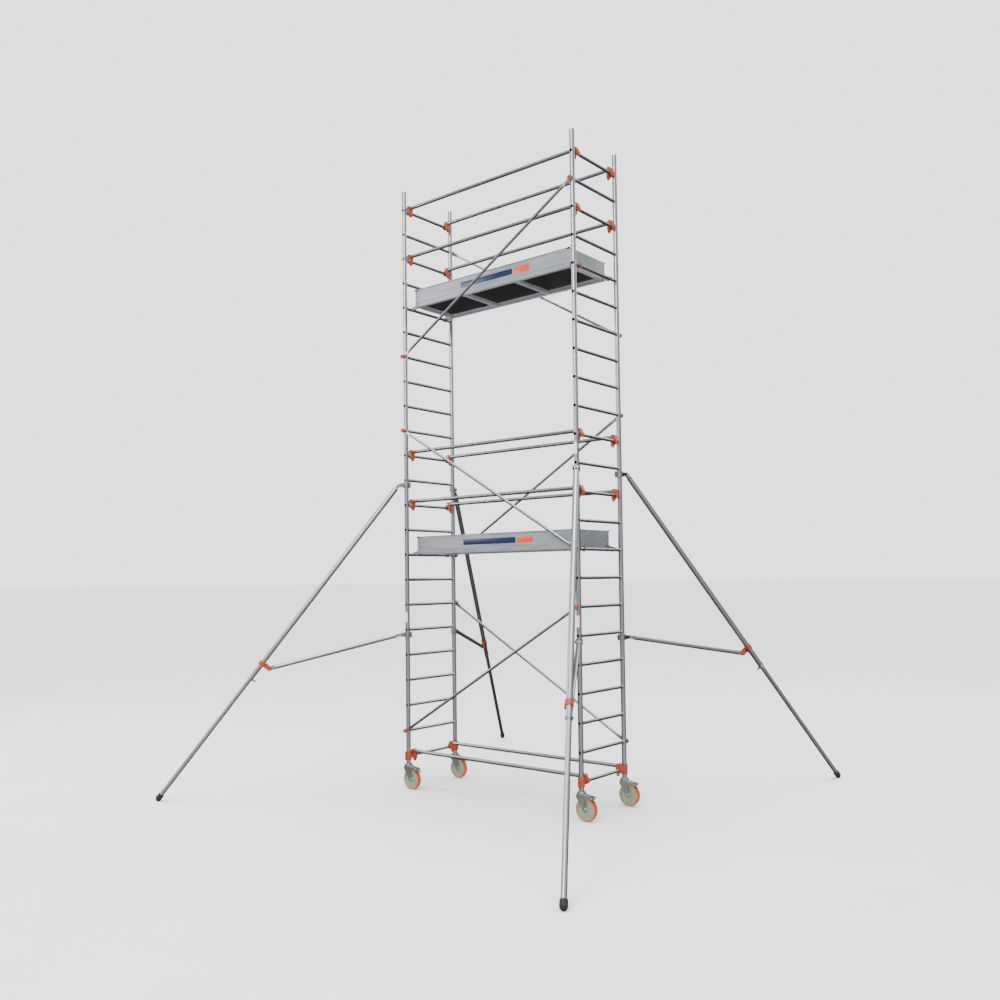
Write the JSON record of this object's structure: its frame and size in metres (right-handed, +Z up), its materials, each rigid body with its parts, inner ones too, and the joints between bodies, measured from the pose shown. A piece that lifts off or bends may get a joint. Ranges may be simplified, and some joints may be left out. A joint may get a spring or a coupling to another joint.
{
  "type": "mobile tower scaffold",
  "caption": "Wheeled tower of ladder frames with guardrails, two decks with trapdoors and toe boards, diagonal braces and telescopic outriggers.",
  "frame": {"origin": "on the floor, in the middle of the four uprights", "axes": "+X along the bay from the left end to the right end, +Y from the front to the back, +Z up"},
  "size_m": [4.8259, 4.9281, 6.018],
  "materials": {
    "aluminium_tube": "drawn mill finish, fine lengthways grain",
    "aluminium_profile": "extruded, satin",
    "cast_aluminium": "sand cast, matte",
    "orange_paint": "powder coat, semi gloss",
    "zinc_steel": "bright zinc plated",
    "orange_tyre": "cast polyurethane, smooth",
    "nylon_centre": "moulded nylon, pale green",
    "phenolic_plywood": "phenolic film faced plywood",
    "black_rubber": "moulded rubber",
    "black_plastic": "moulded, fine texture"
  },
  "bodies": {
    "tower": {"base_frames": "aluminium_tube", "lower_frames": "aluminium_tube", "middle_frames": "aluminium_tube", "top_frames": "aluminium_tube", "frame_spigots": "aluminium_tube", "frame_lock_clips": "zinc_steel", "base_collars": "orange_paint", "base_transoms": "aluminium_tube", "base_rails": "aluminium_tube", "lower_guardrails": "aluminium_tube", "upper_guardrails": "aluminium_tube", "rail_claws": "orange_paint", "rail_claw_jaws": "zinc_steel", "claw_bolts": "zinc_steel", "diagonals": "aluminium_tube", "diagonal_knobs": "orange_paint", "lower_deck_frame": "aluminium_profile", "lower_deck_panel": "phenolic_plywood", "lower_toe_boards": "aluminium_profile", "upper_deck_frame": "aluminium_profile", "upper_deck_panel": "phenolic_plywood", "upper_toe_boards": "aluminium_profile", "deck_hooks": "cast_aluminium", "wind_locks": "orange_paint", "trapdoor_hinges": "zinc_steel", "caster_stems": "zinc_steel"},
    "lower_trapdoor": {"lower_trapdoor": "phenolic_plywood"},
    "upper_trapdoor": {"upper_trapdoor": "phenolic_plywood"},
    "caster_left_front": {"caster_fork_left_front": "zinc_steel"},
    "wheel_left_front": {"caster_wheel_left_front": "orange_tyre"},
    "brake_left_front": {"caster_brake_left_front": "zinc_steel"},
    "caster_right_front": {"caster_fork_right_front": "zinc_steel"},
    "wheel_right_front": {"caster_wheel_right_front": "orange_tyre"},
    "brake_right_front": {"caster_brake_right_front": "zinc_steel"},
    "caster_right_back": {"caster_fork_right_back": "zinc_steel"},
    "wheel_right_back": {"caster_wheel_right_back": "orange_tyre"},
    "brake_right_back": {"caster_brake_right_back": "zinc_steel"},
    "caster_left_back": {"caster_fork_left_back": "zinc_steel"},
    "wheel_left_back": {"caster_wheel_left_back": "orange_tyre"},
    "brake_left_back": {"caster_brake_left_back": "zinc_steel"},
    "outrigger_clamps_left_front": {"outrigger_clamps_left_front": "cast_aluminium"},
    "outrigger_outer_leg_left_front": {"outrigger_outer_leg_left_front": "aluminium_tube"},
    "outrigger_coupler_left_front": {"outrigger_coupler_left_front": "orange_paint"},
    "outrigger_strut_left_front": {"outrigger_strut_left_front": "aluminium_tube"},
    "outrigger_inner_leg_left_front": {"outrigger_inner_leg_left_front": "aluminium_tube"},
    "outrigger_clamps_right_front": {"outrigger_clamps_right_front": "cast_aluminium"},
    "outrigger_outer_leg_right_front": {"outrigger_outer_leg_right_front": "aluminium_tube"},
    "outrigger_coupler_right_front": {"outrigger_coupler_right_front": "orange_paint"},
    "outrigger_strut_right_front": {"outrigger_strut_right_front": "aluminium_tube"},
    "outrigger_inner_leg_right_front": {"outrigger_inner_leg_right_front": "aluminium_tube"},
    "outrigger_clamps_right_back": {"outrigger_clamps_right_back": "cast_aluminium"},
    "outrigger_outer_leg_right_back": {"outrigger_outer_leg_right_back": "aluminium_tube"},
    "outrigger_coupler_right_back": {"outrigger_coupler_right_back": "orange_paint"},
    "outrigger_strut_right_back": {"outrigger_strut_right_back": "aluminium_tube"},
    "outrigger_inner_leg_right_back": {"outrigger_inner_leg_right_back": "aluminium_tube"},
    "outrigger_clamps_left_back": {"outrigger_clamps_left_back": "cast_aluminium"},
    "outrigger_outer_leg_left_back": {"outrigger_outer_leg_left_back": "aluminium_tube"},
    "outrigger_coupler_left_back": {"outrigger_coupler_left_back": "orange_paint"},
    "outrigger_strut_left_back": {"outrigger_strut_left_back": "aluminium_tube"},
    "outrigger_inner_leg_left_back": {"outrigger_inner_leg_left_back": "aluminium_tube"}
  },
  "joints": [
    {"name": "lower_trapdoor_hinge", "type": "hinge", "parent": "tower", "child": "lower_trapdoor", "pos_m": [0, -0.2477, 2.3785], "axis": [1, 0, 0], "range_deg": [0, 85]},
    {"name": "upper_trapdoor_hinge", "type": "hinge", "parent": "tower", "child": "upper_trapdoor", "pos_m": [0, -0.2477, 4.8785], "axis": [1, 0, 0], "range_deg": [0, 85]},
    {"name": "caster_swivel_left_front", "type": "hinge", "parent": "tower", "child": "caster_left_front", "pos_m": [-1.04, -0.345, 0], "axis": [0, 0, 1], "continuous": true},
    {"name": "wheel_spin_left_front", "type": "hinge", "parent": "caster_left_front", "child": "wheel_left_front", "pos_m": [-0.99, -0.345, 0.1], "axis": [0, 1, 0], "continuous": true},
    {"name": "brake_pedal_left_front", "type": "hinge", "parent": "caster_left_front", "child": "brake_left_front", "pos_m": [-0.924, -0.345, 0.2], "axis": [0, 1, 0], "range_deg": [0, 10]},
    {"name": "caster_swivel_right_front", "type": "hinge", "parent": "tower", "child": "caster_right_front", "pos_m": [1.04, -0.345, 0], "axis": [0, 0, 1], "continuous": true},
    {"name": "wheel_spin_right_front", "type": "hinge", "parent": "caster_right_front", "child": "wheel_right_front", "pos_m": [1.09, -0.345, 0.1], "axis": [0, 1, 0], "continuous": true},
    {"name": "brake_pedal_right_front", "type": "hinge", "parent": "caster_right_front", "child": "brake_right_front", "pos_m": [1.156, -0.345, 0.2], "axis": [0, 1, 0], "range_deg": [0, 10]},
    {"name": "caster_swivel_right_back", "type": "hinge", "parent": "tower", "child": "caster_right_back", "pos_m": [1.04, 0.345, 0], "axis": [0, 0, 1], "continuous": true},
    {"name": "wheel_spin_right_back", "type": "hinge", "parent": "caster_right_back", "child": "wheel_right_back", "pos_m": [1.09, 0.345, 0.1], "axis": [0, 1, 0], "continuous": true},
    {"name": "brake_pedal_right_back", "type": "hinge", "parent": "caster_right_back", "child": "brake_right_back", "pos_m": [1.156, 0.345, 0.2], "axis": [0, 1, 0], "range_deg": [0, 10]},
    {"name": "caster_swivel_left_back", "type": "hinge", "parent": "tower", "child": "caster_left_back", "pos_m": [-1.04, 0.345, 0], "axis": [0, 0, 1], "continuous": true},
    {"name": "wheel_spin_left_back", "type": "hinge", "parent": "caster_left_back", "child": "wheel_left_back", "pos_m": [-0.99, 0.345, 0.1], "axis": [0, 1, 0], "continuous": true},
    {"name": "brake_pedal_left_back", "type": "hinge", "parent": "caster_left_back", "child": "brake_left_back", "pos_m": [-0.924, 0.345, 0.2], "axis": [0, 1, 0], "range_deg": [0, 10]},
    {"name": "outrigger_swing_left_front", "type": "hinge", "parent": "tower", "child": "outrigger_clamps_left_front", "pos_m": [-1.04, -0.345, 3.025], "axis": [0, 0, 1], "range_deg": [-35, 35]},
    {"name": "leg_tilt_left_front", "type": "hinge", "parent": "outrigger_clamps_left_front", "child": "outrigger_outer_leg_left_front", "pos_m": [-1.09014, -0.40475, 3.025], "axis": [-0.766, 0.6428, 0], "range_deg": [-4, 4]},
    {"name": "coupler_slide_left_front", "type": "slide", "parent": "outrigger_outer_leg_left_front", "child": "outrigger_coupler_left_front", "axis": [-0.3914, -0.4665, -0.7932], "range_m": [-0.16, 0.16]},
    {"name": "strut_hinge_left_front", "type": "hinge", "parent": "outrigger_clamps_left_front", "child": "outrigger_strut_left_front", "pos_m": [-1.09014, -0.40475, 1.525], "axis": [-0.766, 0.6428, 0], "range_deg": [-14, 14]},
    {"name": "inner_leg_slide_left_front", "type": "slide", "parent": "outrigger_outer_leg_left_front", "child": "outrigger_inner_leg_left_front", "axis": [-0.3914, -0.4665, -0.7932], "range_m": [-0.9, 0.1]},
    {"name": "outrigger_swing_right_front", "type": "hinge", "parent": "tower", "child": "outrigger_clamps_right_front", "pos_m": [1.04, -0.345, 3.025], "axis": [0, 0, 1], "range_deg": [-35, 35]},
    {"name": "leg_tilt_right_front", "type": "hinge", "parent": "outrigger_clamps_right_front", "child": "outrigger_outer_leg_right_front", "pos_m": [1.08075, -0.41151, 3.025], "axis": [-0.8526, -0.5225, 0], "range_deg": [-2.5, 4]},
    {"name": "coupler_slide_right_front", "type": "slide", "parent": "outrigger_outer_leg_right_front", "child": "outrigger_coupler_right_front", "axis": [0.3038, -0.4957, -0.8136], "range_m": [-0.16, 0.16]},
    {"name": "strut_hinge_right_front", "type": "hinge", "parent": "outrigger_clamps_right_front", "child": "outrigger_strut_right_front", "pos_m": [1.08075, -0.41151, 1.525], "axis": [-0.8526, -0.5225, 0], "range_deg": [-14, 14]},
    {"name": "inner_leg_slide_right_front", "type": "slide", "parent": "outrigger_outer_leg_right_front", "child": "outrigger_inner_leg_right_front", "axis": [0.3038, -0.4957, -0.8136], "range_m": [-0.9, 0.1]},
    {"name": "outrigger_swing_right_back", "type": "hinge", "parent": "tower", "child": "outrigger_clamps_right_back", "pos_m": [1.04, 0.345, 3.025], "axis": [0, 0, 1], "range_deg": [-35, 35]},
    {"name": "leg_tilt_right_back", "type": "hinge", "parent": "outrigger_clamps_right_back", "child": "outrigger_outer_leg_right_back", "pos_m": [1.07419, 0.41511, 3.025], "axis": [0.8988, -0.4384, 0], "range_deg": [-4, 4]},
    {"name": "coupler_slide_right_back", "type": "slide", "parent": "outrigger_outer_leg_right_back", "child": "outrigger_coupler_right_back", "axis": [0.2787, 0.5715, -0.7718], "range_m": [-0.16, 0.16]},
    {"name": "strut_hinge_right_back", "type": "hinge", "parent": "outrigger_clamps_right_back", "child": "outrigger_strut_right_back", "pos_m": [1.07419, 0.41511, 1.525], "axis": [0.8988, -0.4384, 0], "range_deg": [-14, 14]},
    {"name": "inner_leg_slide_right_back", "type": "slide", "parent": "outrigger_outer_leg_right_back", "child": "outrigger_inner_leg_right_back", "axis": [0.2787, 0.5715, -0.7718], "range_m": [-0.9, 0.1]},
    {"name": "outrigger_swing_left_back", "type": "hinge", "parent": "tower", "child": "outrigger_clamps_left_back", "pos_m": [-1.04, 0.345, 3.025], "axis": [0, 0, 1], "range_deg": [-35, 35]},
    {"name": "leg_tilt_left_back", "type": "hinge", "parent": "outrigger_clamps_left_back", "child": "outrigger_outer_leg_left_back", "pos_m": [-1.07602, 0.41419, 3.025], "axis": [0.887, 0.4617, 0], "range_deg": [-4, 4]},
    {"name": "coupler_slide_left_back", "type": "slide", "parent": "outrigger_outer_leg_left_back", "child": "outrigger_coupler_left_back", "axis": [-0.2859, 0.5492, -0.7853], "range_m": [-0.16, 0.16]},
    {"name": "strut_hinge_left_back", "type": "hinge", "parent": "outrigger_clamps_left_back", "child": "outrigger_strut_left_back", "pos_m": [-1.07602, 0.41419, 1.525], "axis": [0.887, 0.4617, 0], "range_deg": [-14, 14]},
    {"name": "inner_leg_slide_left_back", "type": "slide", "parent": "outrigger_outer_leg_left_back", "child": "outrigger_inner_leg_left_back", "axis": [-0.2859, 0.5492, -0.7853], "range_m": [-0.9, 0.1]}
  ],
  "couplings": [
    {"joint": "coupler_slide_left_front", "follows": "leg_tilt_left_front", "m_per_rad": -1.8811},
    {"joint": "strut_hinge_left_front", "follows": "leg_tilt_left_front", "ratio": 2.1752},
    {"joint": "coupler_slide_right_front", "follows": "leg_tilt_right_front", "m_per_rad": -1.7858},
    {"joint": "strut_hinge_right_front", "follows": "leg_tilt_right_front", "ratio": 2.1682},
    {"joint": "coupler_slide_right_back", "follows": "leg_tilt_right_back", "m_per_rad": -1.9759},
    {"joint": "strut_hinge_right_back", "follows": "leg_tilt_right_back", "ratio": 2.1835},
    {"joint": "coupler_slide_left_back", "follows": "leg_tilt_left_back", "m_per_rad": -1.9168},
    {"joint": "strut_hinge_left_back", "follows": "leg_tilt_left_back", "ratio": 2.1782}
  ]
}
